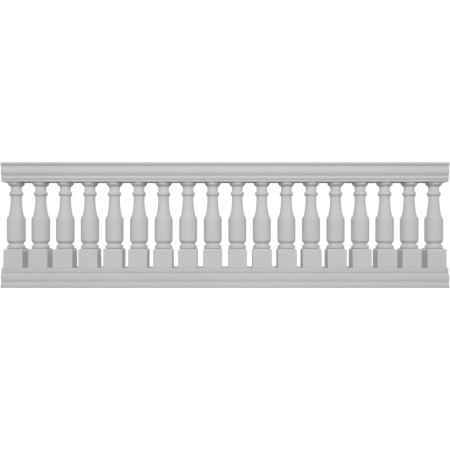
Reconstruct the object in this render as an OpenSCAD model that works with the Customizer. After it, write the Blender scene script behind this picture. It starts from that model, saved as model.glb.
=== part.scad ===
// Moulded fiberglass balustrade section: turned vase balusters on square plinths between two rails.
// The run lies along X, the front faces -Y, and the bottom rail stands on Z = 0. Lengths are in mm.

/* [Run] */
// Number of balusters in the section
baluster_count = 18; // [2:1:24]
// Distance from one baluster's axis to the next
baluster_pitch = 181.5; // [160:0.5:220]
// Rail length beyond the last plinth at each end
end_margin = 13.25; // [4:0.25:60]

/* [Laminate] */
// Wall of the hollow rails
laminate_t = 6; // [4:0.5:8]
// Plate that closes the underside of the top rail
soffit_t = 8; // [5:0.5:14]

/* [Rails] */
// Depth of both rails over their foremost bands, front to back
rail_depth = 181; // [160:1:220]
// Radius of the small arrises of the rails
rail_arris_r = 2.5; // [1:0.25:4]

/* [Top rail] */
// Height of the square band along the top
top_band_h = 17; // [10:0.5:26]
// Depth of the step under the band
top_band_step = 2; // [0.5:0.25:4]
// Height of the hollow curve under the band
crown_cove_h = 20; // [12:0.5:30]
// Inset of the deepest point of that hollow
crown_cove_inset = 10.5; // [8:0.25:16]
// Height of the slow rise from the hollow to the swell
crown_rise_h = 28; // [18:0.5:40]
// Inset of the swell
crown_swell_inset = 6.9; // [4:0.1:8]
// Height over which the swell turns under
crown_turn_h = 30; // [18:0.5:40]
// Inset where the swell has turned under
crown_turn_inset = 17; // [12:0.25:19]
// Height of the half-round bead
top_bead_h = 31; // [18:0.5:40]
// How far the bead's edges stand in front of the plinths
top_bead_proud = 1; // [0:0.25:3]
// Projection of the bead from its edges
top_bead_rise = 4; // [2:0.25:8]
// Height of the groove under the bead
top_quirk_h = 4.5; // [3:0.5:9]
// Depth of that groove behind the plinths' face
top_quirk_depth = 2; // [0.5:0.25:4]
// Height of the lowest fillet, flush with the plinths
top_fillet_h = 11; // [9:0.5:20]

/* [Bottom rail] */
// Height of the square band on the ground
base_band_h = 5.5; // [4:0.5:14]
// Height of the fine groove above that band
base_line_h = 7; // [3:0.5:9]
// Depth of that groove
base_line_depth = 5.5; // [1:0.25:6]
// Height of the hollow flare above the groove
base_flare_h = 30.5; // [20:0.5:50]
// Inset of the foot of the flare
base_foot_inset = 1; // [0:0.25:3]
// Inset of the top of the flare
base_flare_inset = 11; // [8:0.25:15]
// Height of the groove above the flare
base_quirk_h = 7; // [4:0.5:12]
// Inset of the bottom of that groove
base_quirk_inset = 13; // [11.5:0.25:16]
// Height over which the torus turns under
torus_under_h = 20; // [10:0.5:28]
// Inset of the torus at its fullest
torus_inset = 6.9; // [4:0.1:9]
// Height of the torus above its fullest point
torus_over_h = 35; // [24:0.5:50]
// How far the torus stands in front of the plinths at its top
torus_top_proud = 2; // [0.5:0.25:5]
// Height of the groove under the fascia
fascia_quirk_h = 10; // [4:0.5:14]
// Depth of that groove behind the plinths' face
fascia_quirk_depth = 6.5; // [1:0.25:8]
// Height of the flat fascia, flush with the plinths
fascia_h = 30; // [20:0.5:48]

/* [Plinth] */
// Side of the square plinth
plinth_w = 139; // [136:0.5:150]
// Height of the plinth
plinth_h = 139; // [100:0.5:180]
// Radius of the plinth's rounded top edges
plinth_top_r = 17; // [4:0.5:20]
// Radius of the plinth's upright edges
plinth_arris_r = 3; // [1:0.25:6]

/* [Turned body] */
// Radius of the base disc at its foot
disc_r = 65; // [60:0.1:68]
// Radius of the base disc at its top
disc_top_r = 63.8; // [57:0.1:66]
// Height of the base disc
disc_h = 20; // [10:0.5:28]
// Rounding of the base disc's lower edge
disc_round_r = 10; // [4:0.25:12]
// Height of the hollow flare between disc and waist
waist_flare_h = 14; // [6:0.5:24]
// Radius of the waist under the belly
waist_r = 50.2; // [44:0.1:56]
// Height of the waist
waist_h = 3; // [1:0.25:8]
// Height over which the belly rounds out of the waist
belly_under_h = 24; // [14:0.5:36]
// Radius of the belly
belly_r = 66.4; // [58:0.1:68]
// Height of the straight belly
belly_h = 154; // [100:1:200]
// Height of the belly's shoulder
shoulder_h = 27; // [16:0.5:40]
// Radius at the top of the shoulder
shoulder_r = 53.3; // [46:0.1:57]
// Height of the hollow flare above the shoulder
flare_h = 111; // [70:1:160]
// Radius of the shaft
shaft_r = 39.4; // [32:0.1:42]
// Height of the straight shaft
shaft_h = 22.5; // [10:0.5:40]
// Height of the small hollow under the ring
ring_cove_h = 13.7; // [6:0.1:24]
// Radius of the ring at its fullest
ring_r = 50.1; // [46:0.1:56]
// Radius of the ring's half-round section
ring_tube_r = 15.5; // [13:0.25:17]
// Height of the straight band round the ring's middle
ring_band_h = 2.2; // [0.5:0.1:6]
// Radius of the neck
neck_r = 39.1; // [37:0.1:42]
// Height of the neck
neck_h = 29.4; // [16:0.1:44]
// Height of the small hollow at the foot of the cap
cap_cove_h = 8; // [4:0.5:14]
// Height of the cap's quarter-round
cap_round_h = 17.5; // [12:0.5:30]
// Radius of the top of the quarter-round
cap_round_r = 58; // [50:0.1:59]
// Radius of the cap's top fillet
cap_r = 59.5; // [59:0.1:61]
// Height of the cap's top fillet
cap_fillet_h = 13.5; // [6:0.5:24]

/* [Hidden] */
// Curves are drawn with this many chords, and turned bodies with this many sides
curve_steps = 8;
arris_steps = 4;
$fn = 96;
// How far a cutting body runs past what it cuts
overrun = 20;
// Shares that place the pull of each curve inside its own member
half_share = 0.5;
cove_pull_shares = [0, 0.55];
rise_pull_share = 0.5;
turn_pull_shares = [1, 0.52];
base_flare_pull_shares = [0.7, 0.5];
torus_under_pull_shares = [1, 0.35];
torus_over_pull_shares = [1, 0.75];
torus_foot_share = 0.32;
waist_pull_shares = [0.2, 0.33];
under_pull_shares = [0.87, 0.46];
shoulder_pull_shares = [0, 0.24];
flare_pull_shares = [0.8, 0.4];
ring_cove_pull_shares = [0.13, 0.72];
cap_cove_pull_shares = [0.1, 0.7];
cap_foot_share = 0.14;
cap_pull_shares = [0.64, 0.36];
// Angle below the ring's middle where its hollow begins
ring_low_angle = 50;

// Overall heights and length
bottom_rail_h = base_band_h + base_line_h + base_flare_h + base_quirk_h + torus_under_h
    + torus_over_h + fascia_quirk_h + fascia_h;
top_rail_h = top_band_h + crown_cove_h + crown_rise_h + crown_turn_h + top_bead_h + top_quirk_h
    + top_fillet_h;
rail_half = rail_depth * half_share;
plinth_half = plinth_w * half_share;
run_l = (baluster_count - 1) * baluster_pitch;
rail_l = run_l + plinth_w + 2 * end_margin;

// Heights in one baluster, from the foot of its plinth
disc_z = plinth_h;
waist_flare_z = disc_z + disc_h;
waist_z = waist_flare_z + waist_flare_h;
under_z = waist_z + waist_h;
belly_z = under_z + belly_under_h;
shoulder_z = belly_z + belly_h;
flare_z = shoulder_z + shoulder_h;
shaft_z = flare_z + flare_h;
ring_cove_z = shaft_z + shaft_h;
ring_low_z = ring_cove_z + ring_cove_h;
ring_core_r = ring_r - ring_tube_r;
ring_mid_z = ring_low_z + ring_tube_r * sin(ring_low_angle);
ring_top_angle = acos((neck_r - ring_core_r) / ring_tube_r);
ring_high_z = ring_mid_z + ring_band_h;
neck_z = ring_high_z + ring_tube_r * sin(ring_top_angle);
cap_cove_z = neck_z + neck_h;
cap_round_z = cap_cove_z + cap_cove_h;
cap_fillet_z = cap_round_z + cap_round_h;
baluster_h = cap_fillet_z + cap_fillet_h;
cap_foot_r = neck_r + (cap_round_r - neck_r) * cap_foot_share;
ring_low_r = ring_core_r + ring_tube_r * cos(ring_low_angle);

// Heights of the two rails' seats
soffit_z = bottom_rail_h + baluster_h;
total_h = soffit_z + top_rail_h;

// Hollow of the top rail: half widths and heights above its underside
top_low_half = min(plinth_half - top_quirk_depth, rail_half - crown_turn_inset) - laminate_t;
top_wide_half = rail_half - crown_cove_inset - laminate_t;
top_band_half = rail_half - top_band_step - laminate_t - rail_arris_r;
top_fillet_z = top_fillet_h;
top_bead_z = top_fillet_z + top_quirk_h;
crown_turn_z = top_bead_z + top_bead_h;
crown_rise_z = crown_turn_z + crown_turn_h;
crown_cove_z = crown_rise_z + crown_rise_h;
top_band_z = crown_cove_z + crown_cove_h;

// Hollow of the bottom rail: half widths and heights
base_low_half = rail_half - base_quirk_inset - laminate_t;
base_high_half = plinth_half - fascia_quirk_depth - laminate_t;
base_flare_z = base_band_h + base_line_h;
base_quirk_z = base_flare_z + base_flare_h;
torus_under_z = base_quirk_z + base_quirk_h;
torus_over_z = torus_under_z + torus_under_h;
fascia_quirk_z = torus_over_z + torus_over_h;
fascia_z = fascia_quirk_z + fascia_quirk_h;
torus_foot_inset = torus_inset + (base_quirk_inset - torus_inset) * torus_foot_share;

rail_color = [0.72, 0.72, 0.71];
baluster_color = [0.76, 0.76, 0.75];
soffit_color = [0.68, 0.68, 0.67];

function two_digits(n) = n < 10 ? str("0", n) : str(n);
baluster_names = [for (i = [1:baluster_count]) str("baluster_", two_digits(i))];

// A curve from a to b that is pulled towards c
function curve(a, c, b) = [
    for (i = [0:curve_steps])
        let (t = i / curve_steps, u = 1 - t)
        u * u * a + 2 * u * t * c + t * t * b
];

// A point inside the box from a to b, at one share across and another up
function within(a, b, shares) = [a.x + (b.x - a.x) * shares[0], a.y + (b.y - a.y) * shares[1]];

function pulled(a, b, shares) = curve(a, within(a, b, shares), b);

// A round arc about c, from one angle to another
function arc(c, r, from, to, steps) = [
    for (i = [0:steps])
        let (t = from + (to - from) * i / steps)
        c + r * [cos(t), sin(t)]
];

// A bulge from a straight up to b that stands out by rise
function bulge(a, b, rise) = [
    for (i = [0:curve_steps])
        let (t = i / curve_steps)
        a + (b - a) * t + [rise * sin(180 * t), 0]
];

// A rail's section from the points of its front half, which run from bottom to top
function both_sides(half) = concat(
    half,
    [for (i = [len(half) - 1:-1:0]) [-half[i].x, half[i].y]]
);

module along_run(length) {
    rotate([90, 0, 90])
        translate([0, 0, -length * half_share])
            linear_extrude(height = length)
                children();
}

// Front half of the top rail's section, up from its underside
function top_rail_half() = concat(
    arc(
        [plinth_half - rail_arris_r, rail_arris_r],
        rail_arris_r, -90, 0, arris_steps
    ),
    [
        [plinth_half, top_fillet_z],
        [plinth_half - top_quirk_depth, top_fillet_z + top_quirk_h * half_share]
    ],
    bulge(
        [plinth_half + top_bead_proud, top_bead_z],
        [plinth_half + top_bead_proud, crown_turn_z],
        top_bead_rise
    ),
    pulled(
        [rail_half - crown_turn_inset, crown_turn_z],
        [rail_half - crown_swell_inset, crown_rise_z],
        turn_pull_shares
    ),
    curve(
        [rail_half - crown_swell_inset, crown_rise_z],
        [rail_half - crown_swell_inset, crown_rise_z + crown_rise_h * rise_pull_share * half_share],
        [
            rail_half - (crown_swell_inset + crown_cove_inset) * half_share,
            crown_rise_z + crown_rise_h * rise_pull_share
        ]
    ),
    curve(
        [
            rail_half - (crown_swell_inset + crown_cove_inset) * half_share,
            crown_rise_z + crown_rise_h * rise_pull_share
        ],
        [rail_half - crown_cove_inset, crown_cove_z - crown_rise_h * rise_pull_share * half_share],
        [rail_half - crown_cove_inset, crown_cove_z]
    ),
    pulled(
        [rail_half - crown_cove_inset, crown_cove_z],
        [rail_half - top_band_step, top_band_z],
        cove_pull_shares
    ),
    arc(
        [rail_half - rail_arris_r, top_band_z + rail_arris_r],
        rail_arris_r, -90, 0, arris_steps
    ),
    arc(
        [rail_half - rail_arris_r, top_rail_h - rail_arris_r],
        rail_arris_r, 0, 90, arris_steps
    )
);

// Half of the hollow inside the top rail, open below
function top_hollow_half() = [
    [top_low_half, -overrun],
    [top_low_half, crown_turn_z],
    [top_wide_half, crown_rise_z],
    [top_wide_half, crown_cove_z + rail_arris_r],
    [top_band_half, top_band_z + rail_arris_r],
    [top_band_half, top_rail_h - laminate_t]
];

// Front half of the bottom rail's section, up from the ground
function bottom_rail_half() = concat(
    arc([rail_half - rail_arris_r, rail_arris_r], rail_arris_r, -90, 0, arris_steps),
    [
        [rail_half, base_band_h],
        [rail_half - base_line_depth, base_band_h + base_line_h * half_share]
    ],
    pulled(
        [rail_half - base_foot_inset, base_flare_z],
        [rail_half - base_flare_inset, base_quirk_z],
        base_flare_pull_shares
    ),
    [[rail_half - base_quirk_inset, base_quirk_z + base_quirk_h * half_share]],
    pulled(
        [rail_half - torus_foot_inset, torus_under_z],
        [rail_half - torus_inset, torus_over_z],
        torus_under_pull_shares
    ),
    curve(
        [rail_half - torus_inset, torus_over_z],
        within(
            [plinth_half + torus_top_proud, torus_over_z],
            [rail_half - torus_inset, fascia_quirk_z],
            torus_over_pull_shares
        ),
        [plinth_half + torus_top_proud, fascia_quirk_z]
    ),
    [
        [plinth_half - fascia_quirk_depth, fascia_quirk_z],
        [plinth_half - fascia_quirk_depth, fascia_quirk_z + fascia_quirk_h * half_share],
        [plinth_half, fascia_z]
    ],
    arc(
        [plinth_half - rail_arris_r, bottom_rail_h - rail_arris_r],
        rail_arris_r, 0, 90, arris_steps
    )
);

// Half of the hollow inside the bottom rail, open below
function bottom_hollow_half() = [
    [base_low_half, -overrun],
    [base_low_half, torus_over_z],
    [base_high_half, fascia_quirk_z],
    [base_high_half, bottom_rail_h - laminate_t]
];

module top_rail() {
    color(rail_color)
        translate([0, 0, soffit_z])
            difference() {
                along_run(rail_l)
                    polygon(both_sides(top_rail_half()));
                along_run(rail_l + overrun)
                    polygon(both_sides(top_hollow_half()));
            }
}

module top_rail_soffit() {
    color(soffit_color)
        translate([-rail_l * half_share, -top_low_half, soffit_z])
            cube([rail_l, 2 * top_low_half, soffit_t]);
}

module bottom_rail() {
    color(rail_color)
        difference() {
            along_run(rail_l)
                polygon(both_sides(bottom_rail_half()));
            along_run(rail_l + overrun)
                polygon(both_sides(bottom_hollow_half()));
        }
}

// Upright section of the plinth, with its two top edges rounded
function plinth_section() = concat(
    [[plinth_half, 0]],
    arc([plinth_half - plinth_top_r, plinth_h - plinth_top_r], plinth_top_r, 0, 90, curve_steps),
    arc([plinth_top_r - plinth_half, plinth_h - plinth_top_r], plinth_top_r, 90, 180, curve_steps),
    [[-plinth_half, 0]]
);

// Plan of the plinth, with its four upright edges rounded
function plinth_plan() =
    let (c = plinth_half - plinth_arris_r)
    concat(
        arc([c, c], plinth_arris_r, 0, 90, arris_steps),
        arc([-c, c], plinth_arris_r, 90, 180, arris_steps),
        arc([-c, -c], plinth_arris_r, 180, 270, arris_steps),
        arc([c, -c], plinth_arris_r, 270, 360, arris_steps)
    );

module plinth() {
    intersection() {
        linear_extrude(height = plinth_h)
            polygon(plinth_plan());
        along_run(plinth_w + overrun)
            polygon(plinth_section());
        rotate([0, 0, 90])
            along_run(plinth_w + overrun)
                polygon(plinth_section());
    }
}

// Section of the turned body, from its axis and back to it
function turned_section() = concat(
    [[0, plinth_h * half_share], [disc_r - disc_round_r, plinth_h * half_share]],
    arc([disc_r - disc_round_r, disc_z + disc_round_r], disc_round_r, -90, 0, arris_steps),
    curve(
        [disc_top_r, waist_flare_z],
        within([waist_r, waist_flare_z], [disc_top_r, waist_z], waist_pull_shares),
        [waist_r, waist_z]
    ),
    pulled([waist_r, under_z], [belly_r, belly_z], under_pull_shares),
    pulled([belly_r, shoulder_z], [shoulder_r, flare_z], shoulder_pull_shares),
    pulled([shoulder_r, flare_z], [shaft_r, shaft_z], flare_pull_shares),
    pulled([shaft_r, ring_cove_z], [ring_low_r, ring_low_z], ring_cove_pull_shares),
    arc([ring_core_r, ring_mid_z], ring_tube_r, -ring_low_angle, 0, curve_steps),
    arc([ring_core_r, ring_high_z], ring_tube_r, 0, ring_top_angle, curve_steps),
    pulled([neck_r, cap_cove_z], [cap_foot_r, cap_round_z], cap_cove_pull_shares),
    pulled([cap_foot_r, cap_round_z], [cap_round_r, cap_fillet_z], cap_pull_shares),
    [[cap_r, cap_fillet_z], [cap_r, baluster_h], [0, baluster_h]]
);

module baluster(index) {
    color(baluster_color)
        translate([(index - 1) * baluster_pitch - run_l * half_share, 0, bottom_rail_h]) {
            plinth();
            rotate_extrude()
                polygon(turned_section());
        }
}

bottom_rail();
top_rail();
top_rail_soffit();
for (i = [1:baluster_count])
    baluster(i);
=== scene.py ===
import math

import bmesh
import bpy
from bpy.props import FloatProperty, FloatVectorProperty, PointerProperty
from bpy.types import Operator, Panel, PropertyGroup
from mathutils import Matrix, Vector


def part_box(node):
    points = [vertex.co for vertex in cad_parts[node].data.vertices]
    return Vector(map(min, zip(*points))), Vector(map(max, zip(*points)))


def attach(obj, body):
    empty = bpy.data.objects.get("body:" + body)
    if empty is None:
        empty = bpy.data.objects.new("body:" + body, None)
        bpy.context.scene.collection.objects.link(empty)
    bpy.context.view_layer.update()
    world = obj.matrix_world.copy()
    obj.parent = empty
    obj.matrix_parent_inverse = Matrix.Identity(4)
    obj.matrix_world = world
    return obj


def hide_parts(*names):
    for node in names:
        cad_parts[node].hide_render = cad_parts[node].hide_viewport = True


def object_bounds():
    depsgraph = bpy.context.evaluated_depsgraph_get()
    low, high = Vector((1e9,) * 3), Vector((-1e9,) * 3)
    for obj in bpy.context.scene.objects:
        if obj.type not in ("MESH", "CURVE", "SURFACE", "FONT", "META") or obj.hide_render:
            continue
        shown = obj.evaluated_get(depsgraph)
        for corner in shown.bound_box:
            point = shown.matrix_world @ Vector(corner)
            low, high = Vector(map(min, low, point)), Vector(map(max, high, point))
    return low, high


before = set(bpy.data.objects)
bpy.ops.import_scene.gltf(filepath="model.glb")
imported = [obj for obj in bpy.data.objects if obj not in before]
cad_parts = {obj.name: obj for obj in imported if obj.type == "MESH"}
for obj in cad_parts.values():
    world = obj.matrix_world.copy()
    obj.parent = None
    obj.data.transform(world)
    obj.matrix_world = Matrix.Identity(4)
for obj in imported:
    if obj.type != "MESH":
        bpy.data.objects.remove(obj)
CAD_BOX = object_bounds()

bl_info = {
    "name": "Fiberglass Balustrade",
    "version": (1, 0, 0),
    "blender": (4, 5, 0),
    "location": "View3D > Sidebar > Balustrade",
    "description": "Dresses a moulded fiberglass balustrade section and sets its studio",
    "category": "Object",
}

BODY = "root"
MM = 0.001
WHITE = (1.0, 1.0, 1.0, 1.0)

BOTTOM_RAIL = "bottom_rail"
TOP_RAIL = "top_rail"
SOFFIT = "top_rail_soffit"
BALUSTERS = sorted(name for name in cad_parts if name.startswith("baluster_"))

# Meshes: points this close are one, turns under FLAT_ANGLE are flat, and over
# HARD_ANGLE an edge is an arris
WELD = 0.01 * MM
FLAT_ANGLE = math.radians(0.4)
HARD_ANGLE = math.radians(38.0)
CREASE_ANGLE = math.radians(32.0)
ARRIS_SEGMENTS = 2
SOFFIT_ARRIS_SHARE = 0.5
BALUSTER_ARRIS_SHARE = 0.7
# The turned arrises lie above the plinth and below the seat of the cap
PLINTH_SHARE = 0.24
CAP_SEAT_SHARE = 0.01

# Where bare laminate shows: a sawn end looks along the rail, an inner face looks
# towards the rail's middle, and only the soffit's underside has gelcoat
SAWN_END = 0.9
INWARD = -0.012
DOWNWARD = -0.5

# Noise in the gelcoat: features to the metre, detail and roughness
CLOUD = (3.2, 3.0, 0.55)
HAZE = (34.0, 4.0, 0.6)
PEEL = (520.0, 1.0, 0.4)
WAVE = (46.0, 2.0, 0.45)
CLOUD_SHARE = 0.65
MOTTLE_SPREAD = 2.0
SHEEN_DRIFT = 0.16
GELCOAT_SPECULAR = 0.3
RESIN_SPECULAR = 0.5
RESIN_IOR = 1.5

# Layers of chopped strands: the turn of each in radians and its strands' length
STRAND_LAYERS = (
    (0.35, 26.0 * MM),
    (1.2, 22.0 * MM),
    (2.1, 28.0 * MM),
    (2.75, 24.0 * MM),
)
STRAND_WIDTH = 1.6 * MM
STRAND_TILT_SHARES = (0.6, 0.4)
STRAND = (1.0, 1.0, 0.5)
CREST_LOW, CREST_HIGH = 0.5, 0.64
LAYER_COVER = 0.34
POOLS = (30.0, 3.0, 0.6)
POOL_SHARE = 0.25
POOL_DEPTH_SHARE = 1.5
LAMINATE_ROUGHNESS = 0.62
POOL_GLOSS = 0.3

# Soft lights: place, width and height in metres
KEY_LIGHT = ((0.0, -4.33, 3.21), 5.0, 1.2)
BACK_LIGHT = ((0.0, 4.85, 1.79), 5.0, 1.2)
TOP_LIGHT = ((0.0, 0.0, 4.0), 6.5, 0.3)
SENSOR_WIDTH = 36.0

# The room's glow, by height from 0 straight down to 1 straight up
DARK_BELOW, FLOOR_GLOW, WALL_GLOW, DARK_ABOVE = 0.3, 0.425, 0.55, 0.675
# A backdrop this bright is plain white in the picture
BACKDROP = 1.05

# The floor takes shade in an oval round the balustrade and is backdrop beyond it
FLOOR_HALF = 40.0
FLOOR_DROP = 0.5 * MM
OVAL = (0.2, 1.0, 0.0)
OVAL_INNER, OVAL_OUTER = 0.4, 0.9


class GelcoatSettings(PropertyGroup):
    """The coloured outer skin of every moulding."""

    color: FloatVectorProperty(
        name="Gelcoat Color",
        description="Colour of the clean gelcoat",
        subtype="COLOR",
        size=3,
        min=0.0,
        max=1.0,
        default=(0.6, 0.6, 0.6),
    )
    # Painted light: the balusters' gelcoat is made paler than the rails' to make up for the shade
    # they stand in under the top rail
    baluster_painted_light: FloatProperty(
        name="Baluster Painted Light",
        description="Painted light: how much paler the balusters' gelcoat is made than the rails'",
        subtype="FACTOR",
        min=0.5,
        max=1.5,
        default=1.04,
    )
    mottle: FloatProperty(
        name="Mottle",
        description="How much the colour drifts from place to place",
        subtype="FACTOR",
        min=0.0,
        max=0.2,
        default=0.035,
    )
    roughness: FloatProperty(
        name="Roughness",
        description="Roughness of the satin surface",
        subtype="FACTOR",
        min=0.05,
        max=1.0,
        default=0.56,
    )
    peel_depth: FloatProperty(
        name="Orange Peel",
        description="Depth of the fine ripple in the gelcoat",
        subtype="DISTANCE",
        unit="LENGTH",
        min=0.0,
        max=0.001,
        default=0.00004,
        precision=6,
    )
    wave_depth: FloatProperty(
        name="Print Through",
        description="Depth of the slow waves that the glass mat leaves in the skin",
        subtype="DISTANCE",
        unit="LENGTH",
        min=0.0,
        max=0.002,
        default=0.00012,
        precision=6,
    )
    arris: FloatProperty(
        name="Arris",
        description="Width of the softened edges of the mouldings",
        subtype="DISTANCE",
        unit="LENGTH",
        min=0.0,
        max=0.004,
        default=0.0009,
        precision=5,
    )


class LaminateSettings(PropertyGroup):
    """The bare glass mat and resin inside the hollow rails."""

    resin: FloatVectorProperty(
        name="Resin Color",
        description="Colour of the resin between the strands",
        subtype="COLOR",
        size=3,
        min=0.0,
        max=1.0,
        default=(0.38, 0.375, 0.32),
    )
    strand: FloatVectorProperty(
        name="Strand Color",
        description="Colour of the glass strands",
        subtype="COLOR",
        size=3,
        min=0.0,
        max=1.0,
        default=(0.58, 0.58, 0.52),
    )
    strand_depth: FloatProperty(
        name="Strand Depth",
        description="Height of the strands in the rough surface",
        subtype="DISTANCE",
        unit="LENGTH",
        min=0.0,
        max=0.003,
        default=0.0006,
        precision=5,
    )


class StageSettings(PropertyGroup):
    """Camera, lights and floor."""

    camera_distance: FloatProperty(
        name="Camera Distance",
        description="Distance from the lens to the balusters' axes",
        subtype="DISTANCE",
        unit="LENGTH",
        min=1.0,
        max=30.0,
        default=4.15,
    )
    lens: FloatProperty(
        name="Lens",
        description="Focal length on a 36 mm sensor",
        subtype="DISTANCE_CAMERA",
        min=10.0,
        max=200.0,
        default=44.9,
    )
    key_power: FloatProperty(
        name="Key Light",
        description="Power of the soft light above the camera",
        subtype="POWER",
        unit="POWER",
        min=0.0,
        max=5000.0,
        default=165.0,
    )
    back_power: FloatProperty(
        name="Back Light",
        description="Power of the soft light behind the balustrade",
        subtype="POWER",
        unit="POWER",
        min=0.0,
        max=5000.0,
        default=120.0,
    )
    top_power: FloatProperty(
        name="Top Light",
        description="Power of the narrow light along the top of the rail",
        subtype="POWER",
        unit="POWER",
        min=0.0,
        max=5000.0,
        default=75.0,
    )
    sky: FloatProperty(
        name="Room Light",
        description="Light from the pale walls of the room, at the height of the eye",
        min=0.0,
        max=5.0,
        default=1.94,
    )
    floor_white: FloatProperty(
        name="Floor White",
        description="Paleness of the floor near the balustrade; above one it burns out to white",
        min=0.0,
        max=5.0,
        default=2.0,
    )
    ground: FloatProperty(
        name="Floor Bounce",
        description="Light that comes back from the floor",
        min=0.0,
        max=5.0,
        default=0.85,
    )


class Signal:
    """A shader socket that takes part in sums."""

    def __init__(self, recipe, socket):
        self.recipe = recipe
        self.socket = socket

    def _sum(self, operation, first, second):
        node = self.recipe.node("ShaderNodeMath", {"operation": operation}, {0: first, 1: second})
        return node["Value"]

    def __add__(self, other):
        return self._sum("ADD", self, other)

    def __radd__(self, other):
        return self._sum("ADD", other, self)

    def __sub__(self, other):
        return self._sum("SUBTRACT", self, other)

    def __rsub__(self, other):
        return self._sum("SUBTRACT", other, self)

    def __mul__(self, other):
        return self._sum("MULTIPLY", self, other)

    def __rmul__(self, other):
        return self._sum("MULTIPLY", other, self)


class Outputs:
    """A node's outputs, each as a signal."""

    def __init__(self, recipe, node):
        self.recipe = recipe
        self.made = node

    def __getitem__(self, key):
        return Signal(self.recipe, self.made.outputs[key])


class Recipe:
    """A material or a world under construction."""

    def __init__(self, owner):
        owner.use_nodes = True
        self.owner = owner
        self.tree = owner.node_tree
        self.tree.nodes.clear()

    def node(self, kind, settings=None, sockets=None):
        made = self.tree.nodes.new(kind)
        for key, value in (settings or {}).items():
            if key == "stops":
                self._stops(made.color_ramp, value)
            else:
                setattr(made, key, value)
        for key, value in (sockets or {}).items():
            if isinstance(value, Signal):
                self.tree.links.new(value.socket, made.inputs[key])
            else:
                made.inputs[key].default_value = value
        return Outputs(self, made)

    @staticmethod
    def _stops(ramp, stops):
        while len(ramp.elements) < len(stops):
            ramp.elements.new(1.0)
        for element, (place, level) in zip(ramp.elements, stops):
            element.position = place
            element.color = (level, level, level, 1.0)


def opaque(color):
    """A colour property as a socket's four numbers."""
    return (*color, 1.0)


def mixed(recipe, factor, first, second):
    """A colour between two colours."""
    mix = recipe.node(
        "ShaderNodeMix",
        {"data_type": "RGBA", "blend_type": "MIX"},
        {0: factor, 6: first, 7: second},
    )
    return Signal(recipe, mix.made.outputs[2])


def noise(recipe, place, scale, detail, roughness):
    """Cloudy noise of one scale, in features to the metre."""
    return recipe.node(
        "ShaderNodeTexNoise",
        {"noise_dimensions": "3D"},
        {"Vector": place, "Scale": scale, "Detail": detail, "Roughness": roughness},
    )["Fac"]


def surface(recipe, color, roughness, height, specular):
    """The shader itself, with a bump in metres under its normal."""
    bump = recipe.node("ShaderNodeBump", None, {"Height": height, "Distance": 1.0})
    shader = recipe.node(
        "ShaderNodeBsdfPrincipled",
        None,
        {
            "Base Color": color,
            "Roughness": roughness,
            "Normal": bump["Normal"],
            "IOR": RESIN_IOR,
            "Specular IOR Level": specular,
        },
    )
    recipe.node("ShaderNodeOutputMaterial", None, {"Surface": shader["BSDF"]})


def gelcoat(name, settings, painted_lift=1.0):
    """Satin gelcoat: a slow drift of tone, mat print-through and a fine orange peel."""
    recipe = Recipe(bpy.data.materials.new(name))
    place = recipe.node("ShaderNodeTexCoord")["Object"]
    cloud = noise(recipe, place, *CLOUD)
    haze = noise(recipe, place, *HAZE)
    peel = noise(recipe, place, *PEEL)
    wave = noise(recipe, place, *WAVE)
    drift = cloud * CLOUD_SHARE + haze * (1.0 - CLOUD_SHARE)
    spread = settings.mottle * MOTTLE_SPREAD
    # A lift above one makes the whole colour paler: painted light, not a different gelcoat
    dark = opaque(c * painted_lift * (1.0 - spread) for c in settings.color)
    light = opaque(min(1.0, c * painted_lift * (1.0 + spread)) for c in settings.color)
    tone = mixed(recipe, drift, dark, light)
    rough = drift * SHEEN_DRIFT + (settings.roughness - SHEEN_DRIFT * 0.5)
    height = wave * settings.wave_depth + peel * settings.peel_depth
    surface(recipe, tone, rough, height, GELCOAT_SPECULAR)
    return recipe.owner


def bare_laminate(name, settings):
    """Chopped strand mat wetted out with resin, as it shows inside the rails."""
    recipe = Recipe(bpy.data.materials.new(name))
    place = recipe.node("ShaderNodeTexCoord")["Object"]
    tilt_x, tilt_y = STRAND_TILT_SHARES
    layers = []
    for turn, length in STRAND_LAYERS:
        laid = recipe.node(
            "ShaderNodeMapping",
            {"vector_type": "TEXTURE"},
            {
                "Vector": place,
                "Rotation": (turn * tilt_x, turn * tilt_y, turn),
                "Scale": (length, STRAND_WIDTH, STRAND_WIDTH),
            },
        )["Vector"]
        fibre = noise(recipe, laid, *STRAND)
        crest = recipe.node(
            "ShaderNodeMapRange",
            {"clamp": True},
            {"Value": fibre, "From Min": CREST_LOW, "From Max": CREST_HIGH},
        )["Result"]
        layers.append(crest * LAYER_COVER)
    strands = sum(layers[1:], layers[0])
    pools = noise(recipe, place, *POOLS)
    fill = recipe.node("ShaderNodeMath", {"operation": "MINIMUM"}, {0: strands, 1: 1.0})["Value"]
    shade = fill * (1.0 - POOL_SHARE) + pools * POOL_SHARE
    tone = mixed(recipe, shade, opaque(settings.resin), opaque(settings.strand))
    depth = settings.strand_depth
    height = fill * depth + pools * (depth * POOL_DEPTH_SHARE)
    surface(recipe, tone, LAMINATE_ROUGHNESS - pools * POOL_GLOSS, height, RESIN_SPECULAR)
    return recipe.owner


def merged_copy(node):
    """A CAD node's triangles as one welded mesh with its flat faces whole."""
    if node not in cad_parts:
        raise RuntimeError(f"The frame has no {node} to dress")
    bm = bmesh.new()
    bm.from_mesh(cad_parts[node].data)
    bmesh.ops.remove_doubles(bm, verts=bm.verts, dist=WELD)
    bmesh.ops.dissolve_limit(
        bm,
        angle_limit=FLAT_ANGLE,
        use_dissolve_boundaries=False,
        verts=bm.verts,
        edges=bm.edges,
        delimit={"NORMAL"},
    )
    bm.normal_update()
    return bm


def hard_edges(bm):
    """Every edge that turns sharply."""
    return [e for e in bm.edges if e.is_manifold and e.calc_face_angle(0.0) > HARD_ANGLE]


def turned_arrises(bm, low, high):
    """The level outer edges that a lathe leaves between two heights."""
    return [
        e
        for e in hard_edges(bm)
        if e.is_convex
        and low < e.verts[0].co.z < high
        and abs(e.verts[0].co.z - e.verts[1].co.z) < WELD
    ]


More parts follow.
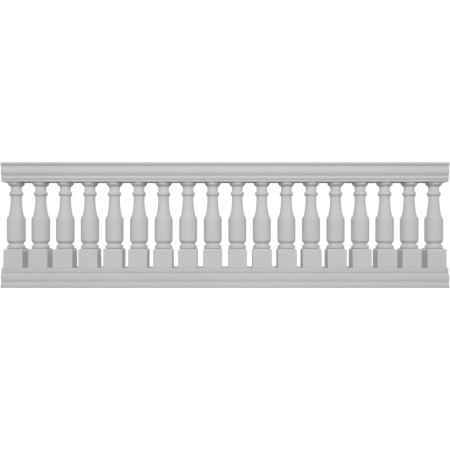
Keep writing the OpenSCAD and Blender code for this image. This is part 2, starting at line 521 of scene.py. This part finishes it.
def soften(bm, hard, width):
    """Rounds the given arrises and shades the gentle turns smooth."""
    if hard and width > 0.0:
        bmesh.ops.bevel(
            bm,
            geom=hard,
            offset=width,
            offset_type="OFFSET",
            segments=ARRIS_SEGMENTS,
            profile=0.5,
            affect="EDGES",
            material=-1,
            clamp_overlap=True,
        )
    for face in bm.faces:
        face.smooth = True
    for edge in bm.edges:
        edge.smooth = not edge.is_manifold or edge.calc_face_angle(0.0) < CREASE_ANGLE


def finish_piece(bm, name, node, materials):
    """Turns a finished bmesh into a piece on the root body and hides its CAD node."""
    if not bm.faces:
        raise RuntimeError(f"{name} came out empty")
    mesh = bpy.data.meshes.new(name)
    for material in materials:
        mesh.materials.append(material)
    bm.to_mesh(mesh)
    bm.free()
    piece = bpy.data.objects.new(name, mesh)
    bpy.context.scene.collection.objects.link(piece)
    flats = piece.modifiers.new("true_flats", "WEIGHTED_NORMAL")
    flats.mode = "FACE_AREA"
    flats.keep_sharp = True
    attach(piece, BODY)
    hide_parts(node)


def material_named(name, maker, *settings):
    """A material that is made once and shared."""
    return bpy.data.materials.get(name) or maker(name, *settings)


class BALUSTRADE_OT_rails(Operator):
    """Dress the two hollow rails: gelcoat outside, bare laminate inside and on the cut ends"""

    bl_idname = "balustrade.rails"
    bl_label = "Rails"

    def execute(self, context):
        coat = context.scene.balustrade_gelcoat
        skin = material_named("rail_gelcoat_skin", gelcoat, coat)
        mat = material_named("bare_laminate", bare_laminate, context.scene.balustrade_laminate)
        for node in (BOTTOM_RAIL, TOP_RAIL):
            bm = merged_copy(node)
            lo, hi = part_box(node)
            mid_height = (lo.z + hi.z) * 0.5
            for face in bm.faces:
                centre = face.calc_center_median()
                sawn = abs(face.normal.x) > SAWN_END
                outward = Vector((0.0, centre.y, centre.z - mid_height))
                inside = face.normal.dot(outward) < INWARD
                face.material_index = 1 if sawn or inside else 0
            soften(bm, hard_edges(bm), coat.arris)
            finish_piece(bm, node + "_moulding", node, (skin, mat))
        return {"FINISHED"}


class BALUSTRADE_OT_soffit(Operator):
    """Dress the plate that closes the underside of the top rail"""

    bl_idname = "balustrade.soffit"
    bl_label = "Soffit Plate"

    def execute(self, context):
        coat = context.scene.balustrade_gelcoat
        skin = material_named("soffit_gelcoat_skin", gelcoat, coat)
        mat = material_named("bare_laminate", bare_laminate, context.scene.balustrade_laminate)
        bm = merged_copy(SOFFIT)
        for face in bm.faces:
            face.material_index = 0 if face.normal.z < DOWNWARD else 1
        soften(bm, hard_edges(bm), coat.arris * SOFFIT_ARRIS_SHARE)
        finish_piece(bm, "soffit_plate", SOFFIT, (skin, mat))
        return {"FINISHED"}


class BALUSTRADE_OT_balusters(Operator):
    """Dress the turned balusters and their plinths"""

    bl_idname = "balustrade.balusters"
    bl_label = "Balusters"

    def execute(self, context):
        coat = context.scene.balustrade_gelcoat
        # The balusters get a paler copy of the gelcoat, painted light for their shaded bodies
        skin = material_named("baluster_gelcoat_skin", gelcoat, coat, coat.baluster_painted_light)
        for node in BALUSTERS:
            bm = merged_copy(node)
            lo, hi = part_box(node)
            rise = hi.z - lo.z
            low = lo.z + rise * PLINTH_SHARE
            high = hi.z - rise * CAP_SEAT_SHARE
            soften(bm, turned_arrises(bm, low, high), coat.arris * BALUSTER_ARRIS_SHARE)
            finish_piece(bm, node + "_moulding", node, (skin,))
        return {"FINISHED"}


def area_light(name, aim, place, width, height, power):
    """A soft rectangular light that shows neither in the picture nor as a reflection."""
    data = bpy.data.lights.new(name, "AREA")
    data.shape = "RECTANGLE"
    data.size = width
    data.size_y = height
    data.energy = power
    light = bpy.data.objects.new(name, data)
    light.location = place
    light.rotation_euler = (Vector(aim) - Vector(place)).to_track_quat("-Z", "Y").to_euler()
    light.visible_camera = False
    light.visible_glossy = False
    bpy.context.scene.collection.objects.link(light)


class BALUSTRADE_OT_stage(Operator):
    """Set the camera, the soft lights, the pale room and the floor"""

    bl_idname = "balustrade.stage"
    bl_label = "Stage"

    def execute(self, context):
        scene = context.scene
        stage = scene.balustrade_stage
        lo, hi = CAD_BOX
        middle = (lo + hi) * 0.5
        if hi.z <= lo.z:
            raise RuntimeError("The frame is empty, so the stage has nothing to stand round")
        self.camera(scene, stage, middle)
        self.lights(stage, middle)
        self.room(scene, stage)
        self.floor(stage, lo.z)
        scene.view_settings.view_transform = "Standard"
        scene.view_settings.look = "None"
        return {"FINISHED"}

    def camera(self, scene, stage, middle):
        data = bpy.data.cameras.new("photo_camera")
        data.lens = stage.lens
        data.sensor_width = SENSOR_WIDTH
        camera = bpy.data.objects.new("photo_camera", data)
        camera.location = (middle.x, middle.y - stage.camera_distance, middle.z)
        camera.rotation_euler = (math.radians(90.0), 0.0, 0.0)
        scene.collection.objects.link(camera)
        scene.camera = camera

    def lights(self, stage, middle):
        area_light("key_light", middle, *KEY_LIGHT, stage.key_power)
        area_light("back_light", middle, *BACK_LIGHT, stage.back_power)
        area_light("top_light", middle, *TOP_LIGHT, stage.top_power)

    def room(self, scene, stage):
        world = bpy.data.worlds.new("pale_room")
        scene.world = world
        recipe = Recipe(world)
        way = recipe.node("ShaderNodeTexCoord")["Generated"]
        height = recipe.node("ShaderNodeSeparateXYZ", None, {"Vector": way})["Z"]
        rise = recipe.node(
            "ShaderNodeValToRGB",
            {
                "stops": (
                    (DARK_BELOW, 0.0),
                    (FLOOR_GLOW, stage.ground),
                    (WALL_GLOW, stage.sky),
                    (DARK_ABOVE, 0.0),
                )
            },
            {"Fac": height * 0.5 + 0.5},
        )["Color"]
        soft = recipe.node("ShaderNodeBackground", None, {"Color": WHITE, "Strength": rise})
        white = recipe.node("ShaderNodeBackground", None, {"Color": WHITE, "Strength": BACKDROP})
        seen = recipe.node("ShaderNodeLightPath")["Is Camera Ray"]
        shown = recipe.node(
            "ShaderNodeMixShader", None, {0: seen, 1: soft["Background"], 2: white["Background"]}
        )
        recipe.node("ShaderNodeOutputWorld", None, {"Surface": shown["Shader"]})

    def floor(self, stage, level):
        bm = bmesh.new()
        bmesh.ops.create_grid(bm, x_segments=1, y_segments=1, size=FLOOR_HALF)
        bmesh.ops.translate(bm, verts=bm.verts, vec=(0.0, 0.0, level - FLOOR_DROP))
        mesh = bpy.data.meshes.new("studio_floor")
        bm.to_mesh(mesh)
        bm.free()
        floor = bpy.data.objects.new("studio_floor", mesh)
        bpy.context.scene.collection.objects.link(floor)
        recipe = Recipe(bpy.data.materials.new("pale_floor"))
        place = recipe.node("ShaderNodeTexCoord")["Object"]
        oval = recipe.node(
            "ShaderNodeVectorMath", {"operation": "MULTIPLY"}, {0: place, 1: OVAL}
        )["Vector"]
        reach = recipe.node("ShaderNodeVectorMath", {"operation": "LENGTH"}, {0: oval})["Value"]
        far = recipe.node(
            "ShaderNodeMapRange",
            {"clamp": True},
            {"Value": reach, "From Min": OVAL_INNER, "From Max": OVAL_OUTER},
        )["Result"]
        pale = opaque((stage.floor_white,) * 3)
        near = recipe.node("ShaderNodeBsdfDiffuse", None, {"Color": pale})
        glow = recipe.node("ShaderNodeEmission", None, {"Color": WHITE, "Strength": BACKDROP})
        laid = recipe.node(
            "ShaderNodeMixShader", None, {0: far, 1: near["BSDF"], 2: glow["Emission"]}
        )
        recipe.node("ShaderNodeOutputMaterial", None, {"Surface": laid["Shader"]})
        recipe.owner.cycles.emission_sampling = "NONE"
        mesh.materials.append(recipe.owner)
        floor.visible_diffuse = False
        floor.visible_glossy = False
        floor.visible_shadow = False


class BALUSTRADE_PT_sidebar(Panel):
    """Settings and steps of the balustrade"""

    bl_idname = "BALUSTRADE_PT_sidebar"
    bl_label = "Balustrade"
    bl_space_type = "VIEW_3D"
    bl_region_type = "UI"
    bl_category = "Balustrade"

    def draw(self, context):
        layout = self.layout
        for group in (
            context.scene.balustrade_gelcoat,
            context.scene.balustrade_laminate,
            context.scene.balustrade_stage,
        ):
            column = layout.column(align=True)
            for key in group.__annotations__:
                column.prop(group, key)
        for step in STEPS:
            layout.operator(step.bl_idname)


GROUPS = (GelcoatSettings, LaminateSettings, StageSettings)
STEPS = (
    BALUSTRADE_OT_stage,
    BALUSTRADE_OT_rails,
    BALUSTRADE_OT_soffit,
    BALUSTRADE_OT_balusters,
)
CLASSES = (*GROUPS, *STEPS, BALUSTRADE_PT_sidebar)


def register():
    for cls in CLASSES:
        bpy.utils.register_class(cls)
    bpy.types.Scene.balustrade_gelcoat = PointerProperty(type=GelcoatSettings)
    bpy.types.Scene.balustrade_laminate = PointerProperty(type=LaminateSettings)
    bpy.types.Scene.balustrade_stage = PointerProperty(type=StageSettings)


def unregister():
    del bpy.types.Scene.balustrade_stage
    del bpy.types.Scene.balustrade_laminate
    del bpy.types.Scene.balustrade_gelcoat
    for cls in reversed(CLASSES):
        bpy.utils.unregister_class(cls)


def main():
    register()
    bpy.ops.balustrade.stage()
    bpy.ops.balustrade.rails()
    bpy.ops.balustrade.soffit()
    bpy.ops.balustrade.balusters()


if __name__ == "__main__":
    main()
